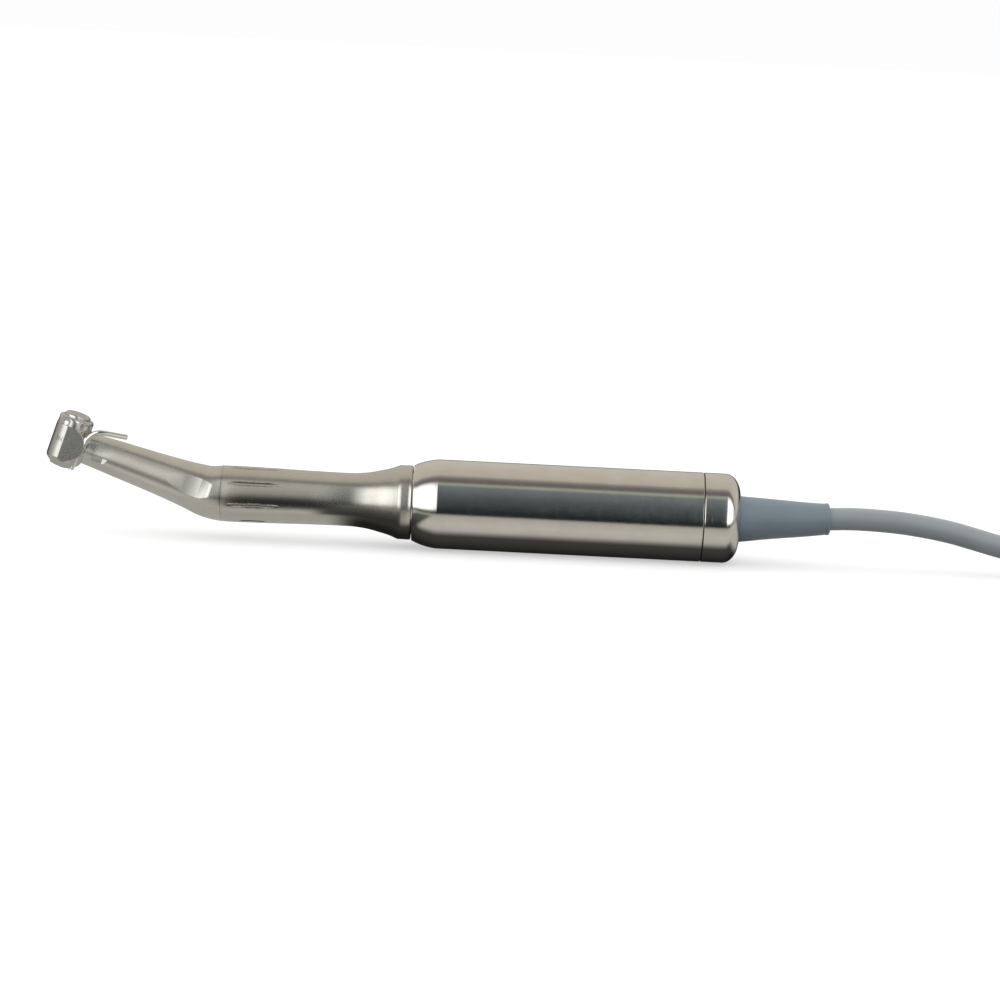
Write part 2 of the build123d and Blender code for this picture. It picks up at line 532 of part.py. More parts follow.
# ---------------------------------------------------------------- grip sheath
# (x, r) from the flared motor end to the neck joint
GRIP_CURVE = [
    (-45.9, 9.8), (-47.2, 9.27), (-48.6, 8.8), (-50.8, 8.25), (-53.5, 7.62), (-57.0, 7.18),
    (-61.5, 7.08), (-66, 7.12), (-72.1, 7.2), (-77.5, 7.33), (-85.5, 7.45), (-90.8, 7.47),
    (X_GRIP_END, GRIP_END_R)]
grip = smooth(
    GRIP_CURVE, (X_GRIP_END, GEAR_BORE), (-64.2, GEAR_BORE), (-64.2, SPIGOT_R + RUN),
    (-46.2, SPIGOT_R + RUN), (-46.2, COLLAR_R + RUN), (X_SHEATH_END, COLLAR_R + RUN),
    (X_SHEATH_END, 9.75), (X_SHEATH_END - 0.15, 9.9), (-45.9, 9.86))
grip -= ring(-48.6, -47.2, 6, 7.3)
# eight lens-shaped flutes, as a round-edged wheel leaves them
WHEEL_R, WHEEL_EDGE_R, FLUTE_FLOOR_R = 53.4, 0.6, 7.43 - 0.5
for k in range(8):
    wheel = Pos(-83.7, FLUTE_FLOOR_R + WHEEL_R + WHEEL_EDGE_R, 0) * Torus(WHEEL_R, WHEEL_EDGE_R)
    grip -= Rot(14 - 180 - 45 * k, 0, 0) * wheel
save("grip_sheath", grip)
latch = ring(-48.55, -47.25, SPIGOT_R + RUN + 0.02, 7.28) - Pos(-47.9, 0, 7) * Box(3, 1.0, 3)
save("latch_ring", latch)
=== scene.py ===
# A dental handpiece: electric motor with boot and cable, and a contra-angle with neck and head.
#
# The motor and grip lie along X, with the head at the -X (front) end and the cable at the
# +X (rear) end. The neck and head are tilted, so they are built in the head's own frame:
# origin on the chuck, x along the neck towards the grip, y as in the world, and z along the
# chuck axis towards the push button.
# Shapes are in millimetres and become metres by MM; shading, floor and cards are in metres.

import bpy
import bmesh
import json
import math
from mathutils import Vector, Matrix


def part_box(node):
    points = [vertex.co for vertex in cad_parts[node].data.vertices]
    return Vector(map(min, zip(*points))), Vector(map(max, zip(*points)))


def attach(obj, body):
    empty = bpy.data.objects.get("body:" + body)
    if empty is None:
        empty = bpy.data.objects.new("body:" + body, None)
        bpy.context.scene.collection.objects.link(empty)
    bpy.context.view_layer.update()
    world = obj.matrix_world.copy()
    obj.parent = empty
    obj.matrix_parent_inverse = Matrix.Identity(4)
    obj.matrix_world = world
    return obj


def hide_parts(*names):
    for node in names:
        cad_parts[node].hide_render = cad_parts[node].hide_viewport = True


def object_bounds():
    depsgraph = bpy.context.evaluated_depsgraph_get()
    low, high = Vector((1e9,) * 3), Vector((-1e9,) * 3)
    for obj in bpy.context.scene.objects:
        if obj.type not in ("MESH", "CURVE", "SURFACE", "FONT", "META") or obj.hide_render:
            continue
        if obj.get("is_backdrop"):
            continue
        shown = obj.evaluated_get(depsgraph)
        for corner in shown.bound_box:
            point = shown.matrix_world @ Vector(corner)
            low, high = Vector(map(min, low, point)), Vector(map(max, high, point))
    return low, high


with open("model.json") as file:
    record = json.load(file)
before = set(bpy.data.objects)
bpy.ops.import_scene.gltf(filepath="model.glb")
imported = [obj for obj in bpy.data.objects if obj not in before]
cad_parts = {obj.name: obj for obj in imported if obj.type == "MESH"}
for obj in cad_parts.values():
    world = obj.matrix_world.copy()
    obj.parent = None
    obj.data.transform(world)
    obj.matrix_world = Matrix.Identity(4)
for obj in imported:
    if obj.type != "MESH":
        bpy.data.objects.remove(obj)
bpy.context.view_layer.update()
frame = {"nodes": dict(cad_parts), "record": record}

MM = 0.001
Y_AXIS = Vector((0, 1, 0))


# ------------------------------------------------------------------ places read from the frame
def x_span(node):
    """The front and rear x of a CAD node."""
    low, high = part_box(node)
    return low[0] / MM, high[0] / MM


def axes_matrix(x_axis, y_axis, z_axis, origin):
    return Matrix.Translation(origin) @ Matrix((x_axis, y_axis, z_axis)).transposed().to_4x4()


SLEEVE_FRONT, SLEEVE_REAR = x_span("motor_sleeve")
CAP_REAR = x_span("rear_cap")[1]
GRIP_FRONT, GRIP_REAR = x_span("grip_sheath")

JOINTS = {joint["name"]: joint for joint in frame["record"]["behaviour"]["joints"]}
CHUCK = Vector(JOINTS["chuck_spin"]["pos_m"]) / MM
CHUCK_AXIS = Vector(JOINTS["chuck_spin"]["axis"]).normalized()
NECK_AXIS = Vector(JOINTS["neck_shaft_spin"]["axis"]).normalized()
HEAD = axes_matrix(NECK_AXIS, Y_AXIS, CHUCK_AXIS, CHUCK)


# ------------------------------------------------------------------ shader helpers
def linear(value):
    """Linear light from an sRGB value of 0 to 255."""
    value /= 255.0
    return value / 12.92 if value <= 0.04045 else ((value + 0.055) / 1.055) ** 2.4


def rgb(red, green, blue, divisor=1.0):
    return tuple(linear(c) / divisor for c in (red, green, blue)) + (1.0,)


class Graph:
    """Adds nodes to a shader tree. An input takes a plain value or another node's output."""

    def __init__(self, tree):
        self.tree = tree

    def fill(self, node, inputs):
        for key, value in inputs.items():
            if isinstance(value, bpy.types.NodeSocket):
                self.tree.links.new(value, node.inputs[key])
            elif value is not None:
                node.inputs[key].default_value = value

    def add(self, kind, inputs=None, **settings):
        node = self.tree.nodes.new("ShaderNode" + kind)
        for name, value in settings.items():
            setattr(node, name, value)
        self.fill(node, inputs or {})
        return node

    def object_coords(self, scale):
        coords = self.add("TexCoord").outputs["Object"]
        return self.add("Mapping", {"Scale": scale, "Vector": coords}).outputs["Vector"]

    def xyz(self, space):
        coords = self.add("TexCoord").outputs[space]
        return self.add("SeparateXYZ", {0: coords}).outputs

    def noise(self, coords, scale, detail, roughness):
        return self.add("TexNoise", {"Scale": scale, "Detail": detail, "Roughness": roughness,
                                     "Vector": coords}).outputs["Fac"]

    def map_range(self, value, low, high, to_low=0.0, to_high=1.0, **settings):
        return self.add("MapRange", {"From Min": low, "From Max": high, "To Min": to_low,
                                     "To Max": to_high, "Value": value},
                        **settings).outputs["Result"]

    def spread(self, noise, to_low, to_high):
        """The middle of a noise's range, stretched to a new range."""
        return self.map_range(noise, 0.3, 0.7, to_low, to_high)

    def smooth(self, value, low, high):
        return self.map_range(value, low, high, interpolation_type="SMOOTHSTEP")

    def mix(self, factor, start, end, data_type="RGBA"):
        return self.add("Mix", {"Factor": factor, "A": start, "B": end},
                        data_type=data_type).outputs["Result"]

    def tint(self, noise, shades):
        return self.mix(self.spread(noise, 0, 1), rgb(*shades[0]), rgb(*shades[1]))

    def bump(self, height, strength, distance, normal=None):
        return self.add("Bump", {"Strength": strength, "Distance": distance, "Height": height,
                                 "Normal": normal}).outputs["Normal"]

    def math(self, operation, first, second=None):
        return self.add("Math", {0: first, 1: second}, operation=operation).outputs[0]

    def elevation(self, xyz):
        """Degrees about X: 0 towards -Y, 90 towards +Z."""
        angle = self.math("ARCTAN2", xyz["Z"], self.math("MULTIPLY", xyz["Y"], -1.0))
        return self.math("MULTIPLY", angle, 180 / math.pi)

    def colour_ramp(self, factor, stops):
        """stops are (position, colour)."""
        node = self.add("ValToRGB", {"Fac": factor})
        elements = node.color_ramp.elements
        while len(elements) > 1:
            elements.remove(elements[-1])
        for number, (position, colour) in enumerate(stops):
            element = elements.new(position) if number else elements[0]
            element.position = position
            element.color = colour
        return node.outputs["Color"]


# ------------------------------------------------------------------ materials
def new_material(name):
    material = bpy.data.materials.new(name)
    material.use_nodes = True
    graph = Graph(material.node_tree)
    return material, graph, material.node_tree.nodes["Principled BSDF"]


# shades: two sRGB colours, mixed by a cloudy noise
# roughness: low and high, varied by the grain
# grain: noise scale of the fine texture, per metre
# bump, line_bump: strength, and distance in metres
# line_scale: x, y, z scale of a stretched noise, as turning or hairlines leave
# worn: roughness on raised edges
def metal(name, shades, roughness, grain, bump, line_scale=None, line_bump=None, worn=None):
    material, graph, surface = new_material(name)
    coords = graph.object_coords((1, 1, 1))
    fine = graph.noise(coords, scale=grain, detail=4, roughness=0.6)
    cloud = graph.noise(coords, scale=160, detail=3, roughness=0.5)
    colour = graph.tint(cloud, shades)
    normal = graph.bump(fine, *bump)
    rough = graph.spread(fine, *roughness)
    if line_scale:
        streaks = graph.noise(graph.object_coords(line_scale), scale=1.0, detail=2, roughness=0.7)
        normal = graph.bump(streaks, *line_bump, normal=normal)
        rough = graph.math("ADD", rough, graph.spread(streaks, -0.03, 0.06))
    if worn:
        pointiness = graph.add("NewGeometry").outputs["Pointiness"]
        edge = graph.map_range(pointiness, low=0.51, high=0.58)
        rough = graph.mix(edge, rough, worn, data_type="FLOAT")
    graph.fill(surface, {"Metallic": 1.0, "Base Color": colour, "Roughness": rough,
                         "Normal": normal})
    return material


def soft(name, shades, roughness, grain, bump, sheen=0.0):
    """Rubber, plastic or board."""
    material, graph, surface = new_material(name)
    coords = graph.object_coords((1, 1, 1))
    cloud = graph.noise(coords, scale=90, detail=4, roughness=0.6)
    fine = graph.noise(coords, scale=grain, detail=3, roughness=0.6)
    graph.fill(surface, {"Base Color": graph.tint(cloud, shades),
                         "Roughness": graph.spread(fine, *roughness),
                         "Normal": graph.bump(fine, *bump), "Sheen Weight": sheen})
    return material


MATERIALS = {}                            # by the slot names of the frame's record
MATERIALS["blasted_steel"] = metal(
    "bead_blasted_steel", shades=((190, 188, 181), (199, 197, 190)),
    roughness=(0.23, 0.31), grain=6400, bump=(0.09, 0.00005), worn=0.16)
BLASTED_HEAD = metal(
    "bead_blasted_head", shades=((186, 185, 180), (195, 194, 189)),
    roughness=(0.22, 0.31), grain=4600, bump=(0.15, 0.00006), worn=0.18)
BLASTED_NECK = metal(
    "bead_blasted_neck", shades=((194, 193, 188), (203, 202, 197)),
    roughness=(0.23, 0.31), grain=6400, bump=(0.12, 0.00005), worn=0.16)
SATIN_CAP = metal(
    "satin_steel_cap", shades=((188, 188, 185), (198, 198, 195)),
    roughness=(0.22, 0.29), grain=4200, bump=(0.10, 0.00004))
MATERIALS["polished_steel"] = metal(
    "polished_steel", shades=((222, 220, 215), (229, 227, 223)),
    roughness=(0.05, 0.11), grain=2600, bump=(0.04, 0.00002))
MATERIALS["motor_steel"] = metal(
    "hairline_polished_steel", shades=((211, 208, 202), (219, 217, 212)),
    roughness=(0.07, 0.15), grain=3600, bump=(0.22, 0.00004),
    line_scale=(5200, 260, 260), line_bump=(0.14, 0.00003))
MATERIALS["nose_steel"] = metal(
    "turned_steel", shades=((200, 200, 200), (210, 210, 208)),
    roughness=(0.16, 0.26), grain=2400, bump=(0.06, 0.00002),
    line_scale=(6000, 120, 120), line_bump=(0.22, 0.00003))
MATERIALS["gear_steel"] = metal(
    "ground_steel", shades=((176, 178, 180), (196, 197, 198)),
    roughness=(0.20, 0.32), grain=3000, bump=(0.12, 0.00003))
MATERIALS["bearing_steel"] = metal(
    "bearing_steel", shades=((210, 210, 210), (220, 220, 220)),
    roughness=(0.06, 0.12), grain=3000, bump=(0.03, 0.00002))
MATERIALS["spring_steel"] = metal(
    "spring_wire", shades=((170, 170, 168), (190, 190, 188)),
    roughness=(0.2, 0.3), grain=3000, bump=(0.1, 0.00002))
MATERIALS["core_steel"] = metal(
    "laminated_core", shades=((90, 92, 96), (112, 113, 116)),
    roughness=(0.35, 0.5), grain=2000, bump=(0.2, 0.00004),
    line_scale=(9000, 50, 50), line_bump=(0.5, 0.00005))
MATERIALS["bracket_alloy"] = metal(
    "machined_alloy", shades=((205, 206, 208), (216, 217, 218)),
    roughness=(0.25, 0.35), grain=2600, bump=(0.1, 0.00003))
MATERIALS["copper"] = metal(
    "enamelled_copper", shades=((190, 104, 60), (205, 122, 74)),
    roughness=(0.25, 0.35), grain=2000, bump=(0.2, 0.00005),
    line_scale=(400, 5200, 5200), line_bump=(0.5, 0.0001))
MATERIALS["contact_brass"] = metal(
    "plated_contact", shades=((220, 190, 120), (230, 200, 134)),
    roughness=(0.12, 0.2), grain=2600, bump=(0.05, 0.00002))
MATERIALS["boot_rubber"] = soft(
    "boot_rubber", shades=((99, 112, 121), (105, 118, 127)),
    roughness=(0.42, 0.52), grain=2600, bump=(0.12, 0.00004), sheen=0.12)
MATERIALS["seal_rubber"] = soft(
    "seal_rubber", shades=((24, 24, 25), (32, 32, 33)),
    roughness=(0.5, 0.6), grain=2600, bump=(0.12, 0.00004))
MATERIALS["cable_jacket"] = soft(
    "cable_jacket", shades=((126, 131, 134), (131, 136, 139)),
    roughness=(0.38, 0.46), grain=2200, bump=(0.08, 0.00004), sheen=0.1)
MATERIALS["insulator"] = soft(
    "moulded_insulator", shades=((206, 206, 200), (214, 214, 208)),
    roughness=(0.3, 0.4), grain=2400, bump=(0.05, 0.00002))
MATERIALS["board"] = soft(
    "circuit_board", shades=((28, 84, 50), (34, 92, 58)),
    roughness=(0.3, 0.4), grain=2400, bump=(0.05, 0.00002))

for subpart in frame["record"]["subparts"]:
    for material_slot in frame["nodes"][subpart["node"]].material_slots:
        material_slot.material = MATERIALS[subpart["material_slot"]]


# ------------------------------------------------------------------ curves
def smooth_curve(points, steps):
    """A Hermite curve through 2D points, each span cut into `steps`."""
    spans = list(zip(points, points[1:]))
    lengths = [math.dist(a, b) for a, b in spans]
    units = [[(b[k] - a[k]) / length for k in (0, 1)] for (a, b), length in zip(spans, lengths)]
    slopes = [units[0]]
    for i in range(1, len(spans)):
        before, after = lengths[i - 1], lengths[i]
        slopes.append([(after * units[i - 1][k] + before * units[i][k]) / (before + after)
                       for k in (0, 1)])
    slopes.append(units[-1])
    curve = []
    for i, (a, b) in enumerate(spans):
        for step in range(steps):
            t = step / steps
            at_a, out_a = 2 * t**3 - 3 * t**2 + 1, t**3 - 2 * t**2 + t
            at_b, into_b = -2 * t**3 + 3 * t**2, t**3 - t**2
            curve.append(tuple(at_a * a[k] + out_a * lengths[i] * slopes[i][k]
                               + at_b * b[k] + into_b * lengths[i] * slopes[i + 1][k]
                               for k in (0, 1)))
    curve.append(points[-1])
    return curve


def straight(start, end, steps):
    """Even points from start up to, but without, end."""
    return [(start[0] + (end[0] - start[0]) * k / steps, start[1] + (end[1] - start[1]) * k / steps)
            for k in range(steps)]


def value_at(curve, x):
    """The second coordinate of a curve at x; its last one when x is off the curve."""
    for (x0, value0), (x1, value1) in zip(curve, curve[1:]):
        if min(x0, x1) <= x <= max(x0, x1):
            return value0 + (value1 - value0) * (x - x0) / (x1 - x0)
    return curve[-1][1]


# ------------------------------------------------------------------ shapes: (vertices, faces)
def hoop_faces(count, segs):
    """Quads joining each hoop to the next, and the last to the first."""
    faces = []
    for i in range(count):
        i2 = (i + 1) % count
        for j in range(segs):
            j2 = (j + 1) % segs
            faces.append((i * segs + j, i * segs + j2, i2 * segs + j2, i2 * segs + j))
    return faces


def lathe(profile, segs, dent=None):
    """A shell about X from a closed (x, radius) outline.

    dent(x, angle, index in the profile) is taken off the radius."""
    verts = []
    for i, (x, radius) in enumerate(profile):
        for j in range(segs):
            angle = 2 * math.pi * j / segs
            r = radius - (dent(x, angle, i) if dent else 0.0)
            verts.append((x, r * math.cos(angle), r * math.sin(angle)))
    return verts, hoop_faces(len(profile), segs)


def lathe_solid(profile, segs):
    """A solid about X from an open (x, radius) outline whose ends lie on the axis."""
    verts, faces, rings = [], [], []
    for x, r in profile:
        if r < 1e-6:
            rings.append([len(verts)])
            verts.append((x, 0, 0))
        else:
            rings.append(list(range(len(verts), len(verts) + segs)))
            angles = [2 * math.pi * j / segs for j in range(segs)]
            verts += [(x, r * math.cos(angle), r * math.sin(angle)) for angle in angles]
    for a, b in zip(rings, rings[1:]):
        for j in range(segs):
            j2 = (j + 1) % segs
            if len(a) == 1 and len(b) > 1:
                faces.append((a[0], b[j2], b[j]))
            elif len(b) == 1 and len(a) > 1:
                faces.append((a[j], a[j2], b[0]))
            elif len(a) > 1:
                faces.append((a[j], a[j2], b[j2], b[j]))
    return verts, faces


def hoop(centre, tangent, half_width, half_height, segs, dent=None):
    """An ellipse square to the tangent, half_width along y; dent(angle) is taken off both."""
    across = tangent.cross(Y_AXIS).normalized()
    verts = []
    for j in range(segs):
        angle = 2 * math.pi * j / segs
        depth = dent(angle) if dent else 0.0
        verts.append(tuple(centre + Y_AXIS * (half_width - depth) * math.cos(angle)
                           + across * (half_height - depth) * math.sin(angle)))
    return verts


def tube(path, radii, segs, bore):
    """A tube along 3D points, with an outer radius at each and one bore radius."""
    path = [Vector(point) for point in path]
    last = len(path) - 1
    tangents = [(path[min(k + 1, last)] - path[max(k - 1, 0)]).normalized()
                for k in range(len(path))]
    verts = []
    for centre, tangent, r in zip(path, tangents, radii):
        verts += hoop(centre, tangent, r, r, segs)
    for centre, tangent in reversed(list(zip(path, tangents))):
        verts += hoop(centre, tangent, bore, bore, segs)
    return verts, hoop_faces(2 * len(path), segs)


def rod(radius, start, end, segs):
    """A solid cylinder along X."""
    return lathe_solid([(start, 0), (start, radius), (end, radius), (end, 0)], segs)


def box(centre, size):
    signs = (-1, 1)
    verts = [tuple(c + s * sign / 2 for c, s, sign in zip(centre, size, (i, j, k)))
             for i in signs for j in signs for k in signs]
    return verts, [(0, 1, 3, 2), (4, 6, 7, 5), (0, 4, 5, 1), (2, 3, 7, 6), (0, 2, 6, 4),
                   (1, 5, 7, 3)]


def ball(radius, centre, segs, bands=24):
    angles = [math.pi * k / bands for k in range(bands + 1)]
    profile = [(-radius * math.cos(angle), radius * math.sin(angle)) for angle in angles]
    profile[0], profile[-1] = (-radius, 0), (radius, 0)
    verts, faces = lathe_solid(profile, segs)
    return [tuple(v + c for v, c in zip(vert, centre)) for vert in verts], faces


def stand(shape):
    """A shape about X, stood up along z."""
    verts, faces = shape
    return [(z, y, x) for x, y, z in verts], faces


# ------------------------------------------------------------------ objects
def new_object(name, shape, place=Matrix.Identity(4)):
    """A mesh object in metres from a shape in millimetres, moved by place."""
    verts, faces = shape
    mesh = bpy.data.meshes.new(name)
    mesh.from_pydata([(place @ Vector(vert)) * MM for vert in verts], [], faces)
    mesh.validate()
    ob = bpy.data.objects.new(name, mesh)
    bpy.context.scene.collection.objects.link(ob)
    bm = bmesh.new()
    bm.from_mesh(mesh)
    bmesh.ops.recalc_face_normals(bm, faces=bm.faces)
    bm.to_mesh(mesh)
    bm.free()
    return ob


def dress(ob, slot, body, node, sharp, look=None):
    """look overrides the slot's own material."""
    mesh = ob.data
    mesh.materials.clear()
    mesh.materials.append(look or MATERIALS[slot])
    for polygon in mesh.polygons:
        polygon.use_smooth = True
    mesh.set_sharp_from_angle(angle=math.radians(sharp))
    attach(ob, body)
    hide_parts(node)


def apply_modifier(ob, name, kind, **settings):
    modifier = ob.modifiers.new(name, kind)
    for key, value in settings.items():
        setattr(modifier, key, value)
    depsgraph = bpy.context.evaluated_depsgraph_get()
    depsgraph.update()
    mesh = bpy.data.meshes.new_from_object(ob.evaluated_get(depsgraph))
    ob.modifiers.clear()
    old = ob.data
    ob.data = mesh
    bpy.data.meshes.remove(old)


def carve(ob, tools, operation="DIFFERENCE"):
    """Apply each tool as a boolean, then remove the tools."""
    for tool in tools:
        apply_modifier(ob, "cut", "BOOLEAN", operation=operation, solver="EXACT", object=tool)
    for tool in tools:
        bpy.data.objects.remove(tool, do_unlink=True)


def move_to_head(ob):
    """Carry a mesh built about the origin into the head's frame."""
    for vert in ob.data.vertices:
        vert.co = (HEAD @ (vert.co / MM)) * MM


# ------------------------------------------------------------------ motor shells
MOTOR_R = 11.9
SHELL_BORE = 9.2


def build_motor_sleeve():
    front_bore = 8.0
    nose = smooth_curve([(SLEEVE_FRONT + 0.12, 10.10), (-40.2, 10.83), (-38.2, 11.42),
                         (-36.6, 11.74), (-35.4, MOTOR_R)], 10)
    profile = [(SLEEVE_FRONT, 9.98)] + nose
    profile += straight((-35.2, MOTOR_R), (SLEEVE_REAR - 0.1, MOTOR_R), 24)
    profile += [(SLEEVE_REAR - 0.1, MOTOR_R), (SLEEVE_REAR - 0.02, MOTOR_R - 0.05),
                (SLEEVE_REAR, MOTOR_R - 0.12), (SLEEVE_REAR, SHELL_BORE),
                (-38.5, SHELL_BORE), (-38.5, front_bore), (SLEEVE_FRONT, front_bore)]
    dress(new_object("motor_sleeve_shell", lathe(profile, 288)),
          "motor_steel", "motor", "motor_sleeve", sharp=25)


def build_rear_cap():
    seam = 35.25                          # front edge of the visible cap
    round_x = 40.9                        # where the rear rounding starts
    round_length, round_drop = 4.1, 5.6   # half axes of its quarter ellipse
    steps = 22
    profile = [(seam, SHELL_BORE), (seam, MOTOR_R - 0.14), (seam + 0.03, MOTOR_R - 0.04),
               (seam + 0.13, MOTOR_R)]
    profile += straight((seam + 0.3, MOTOR_R), (round_x, MOTOR_R), 5)
    for k in range(steps + 1):
        angle = math.pi / 2 * k / steps
        profile.append((min(round_x + round_length * math.sin(angle), CAP_REAR),
                        MOTOR_R - round_drop + round_drop * math.cos(angle)))
    profile += [(CAP_REAR, 6.2), (CAP_REAR - 0.05, 4.6), (42, 4.6), (42, 8.2), (31.5, 8.2),
                (31.5, SHELL_BORE)]
    dress(new_object("rear_cap_shell", lathe(profile, 288)),
          "motor_steel", "motor", "rear_cap", sharp=25)


# ------------------------------------------------------------------ boot and cable
# centre line of the cable: x, z
CABLE_LINE = smooth_curve([
    (36.5, 0), (41, 0), (45, 0.02), (50.6, 0.3), (57, 0.55), (62.5, 0.75), (69.1, 1.15),
    (74.7, 1.45), (82.7, 1.36), (88, 1.07), (93.4, 0.5), (101.4, -0.75), (109.4, -2.65),
    (114.7, -3.95), (121.5, -5.2), (128, -5.65), (133, -5.7), (141, -5.7)], 10)
CABLE_R = 3.0


def build_cable():
    path = [(x, 0, z) for x, z in CABLE_LINE]
    dress(new_object("cable_jacket", tube(path, [CABLE_R] * len(path), 72, bore=2.35)),
          "cable_jacket", "motor", "cable", sharp=40)


def build_boot():
    # stations: x, radius
    root = [(40.4, 5.8), (42, 5.8), (42, 4.6), (44.9, 4.6), (44.9, 6.0), (45.02, 6.12)]
    taper = smooth_curve([(45, 6.15), (50.6, 5.62), (57, 5.07), (62.5, 4.61), (68.0, 4.17)], 12)
    lip = [(67.98, 4.16), (68.02, 4.2), (68.1, 4.25), (68.2, 4.275), (68.4, 4.28), (68.6, 4.27),
           (68.75, 4.2), (68.9, 4.02), (69.02, 3.83), (69.1, 3.66)]
    start, end, steps = 45.3, 67.85, 46
    taper_xs = [start + (end - start) * k / steps for k in range(steps + 1)]
    stations = root + [(x, value_at(taper, x)) for x in taper_xs] + lip
    path = [(x, 0, value_at(CABLE_LINE, x)) for x, r in stations]
    radii = [r for x, r in stations]
    dress(new_object("boot_moulding", tube(path, radii, 96, bore=CABLE_R + 0.02)),
          "boot_rubber", "motor", "cable_boot", sharp=30)


# ------------------------------------------------------------------ grip sheath
GRIP_END_R = 7.42
SPIGOT_R = 6.45                           # of the neck's spigot and the grip bore round it
# outline behind the neck, running forwards: x, radius
GRIP_CURVE = smooth_curve([
    (-45.9, 9.8), (-47.2, 9.27), (-48.6, 8.8), (-50.8, 8.25), (-53.5, 7.62), (-57.0, 7.18),
    (-61.5, 7.08), (-66, 7.12), (-72.1, 7.2), (-77.5, 7.33), (-85.5, 7.45), (-90.8, 7.47),
    (GRIP_FRONT + 0.1, GRIP_END_R)], 9)


def build_grip():
    """The sheath, with eight lens-shaped flutes as a round-edged wheel leaves them."""
    flute_x, half_run = -83.7, 7.5        # middle of the flutes, and the zone sampled finely
    land_r, depth = 7.43, 0.5             # grip radius there, and how deep the flutes go
    edge_r, wheel_r = 0.6, 54.0           # round of the wheel's edge, and the wheel itself
    pitch, first = 45, 14                 # degrees round the grip
    samples = 100

    rear, front = flute_x + half_run, flute_x - half_run
    fine_xs = [rear - 2 * half_run / samples * k for k in range(samples + 1)]
    collar = [(GRIP_REAR, 8.05), (GRIP_REAR, 9.72), (GRIP_REAR - 0.05, 9.82),
              (GRIP_REAR - 0.18, 9.9), (-43.5, 9.9), (-44.7, 9.87), (-45.8, 9.86)]
    outer = collar + [point for point in GRIP_CURVE if point[0] > rear]
    outer += [(x, value_at(GRIP_CURVE, x)) for x in fine_xs]
    outer += [point for point in GRIP_CURVE if point[0] < front - 0.05]
    inner = [(GRIP_FRONT, 7.33), (GRIP_FRONT, SPIGOT_R), (-64.2, SPIGOT_R), (-64.2, 6.25),
             (-46.2, 6.25), (-46.2, 8.05)]

    def flute(x, angle, index):
        if index >= len(outer) or abs(x - flute_x) > half_run:
            return 0.0
        off = (math.degrees(angle) - first + 180 + pitch / 2) % pitch - pitch / 2
        if abs(off) > 6:
            return 0.0
        surface_r = value_at(GRIP_CURVE, x)
        floor_r = land_r - depth + wheel_r - math.sqrt(wheel_r ** 2 - (x - flute_x) ** 2)
        across = surface_r * math.sin(math.radians(off))
        if abs(across) >= edge_r:
            return 0.0
        return max(0.0, surface_r - (floor_r + edge_r - math.sqrt(edge_r ** 2 - across * across)))

    dress(new_object("grip_sheath_shell", lathe(outer + inner, 720, flute)),
          "blasted_steel", "contra", "grip_sheath", sharp=32)


# ------------------------------------------------------------------ neck housing
# stations along the head's x: x, half height, half width
NECK_STATIONS = [
    (5.0, 4.35, 4.35), (9, 4.53, 4.53), (12.5, 4.75, 4.75), (17.1, 5.0, 5.0), (22.7, 5.3, 5.34),
    (28.4, 5.68, 5.86), (34.0, 6.2, 6.66), (37.6, 6.68, 7.2)]
NECK_LINES = [(6.72, 6.90), (7.36, 7.54)]     # x spans of two engraved lines
NECK_LINE_DEPTH = 0.14
NECK_SEGS = 192


def neck_shape():
    """The straight neck, its bend into the grip, the spigot, and back through the bore."""
    heights = smooth_curve([(x, height) for x, height, width in NECK_STATIONS], 10)
    widths = smooth_curve([(x, width) for x, height, width in NECK_STATIONS], 10)
    line_edges = [x + d for span in NECK_LINES for x in span for d in (-0.03, 0.03)]
    xs = sorted([x for x, height in heights if not 6.6 < x < 7.7] + line_edges)
    grooved = {i for i, x in enumerate(xs) if any(a < x < b for a, b in NECK_LINES)}

    # hoops: centre, half height, half width, tangent
    hoops = [(HEAD @ Vector((x, 0, 0)), value_at(heights, x), value_at(widths, x), NECK_AXIS)
             for x in xs]
    end_x, end_height, end_width = NECK_STATIONS[-1]
    start, corner = HEAD @ Vector((end_x, 0, 0)), Vector((-95.9, 0, 0))
    end = Vector((GRIP_FRONT, 0, 0))
    steps = 14
    for k in range(1, steps):
        t = k / steps
        hoops.append((start * (1 - t) ** 2 + corner * 2 * t * (1 - t) + end * t * t,
                      end_height + (GRIP_END_R - end_height) * t,
                      end_width + (GRIP_END_R - end_width) * math.sin(t * math.pi / 2),
                      ((corner - start) * (1 - t) + (end - corner) * t).normalized()))

    def round_hoop(x, radius):
        return Vector((x, 0, 0)), radius, radius, Vector((1, 0, 0))

    hoops += [round_hoop(GRIP_FRONT - 0.08, 7.415), round_hoop(GRIP_FRONT, 7.34)]
    bore_step = HEAD @ Vector((36.5, 0, 0))
    bore = []
    for centre, height, width, tangent in hoops:
        radius = 3.3 if (centre - bore_step).dot(NECK_AXIS) < 0 else 4.4
        bore.append((centre, radius, radius, tangent))
    hoops += [round_hoop(GRIP_FRONT, SPIGOT_R), round_hoop(-91.6, SPIGOT_R),
              round_hoop(-91.6, 5.3)]
    hoops += reversed(bore)

    def engraving(angle):
        """The lines run part way round, on the -y side."""
        return NECK_LINE_DEPTH if math.pi - 0.56 < angle < math.pi - 0.04 else 0.0

    verts = []
    for i, (centre, height, width, tangent) in enumerate(hoops):
        verts += hoop(centre, tangent, width, height, NECK_SEGS,
                      engraving if i in grooved else None)
    return verts, hoop_faces(len(hoops), NECK_SEGS)


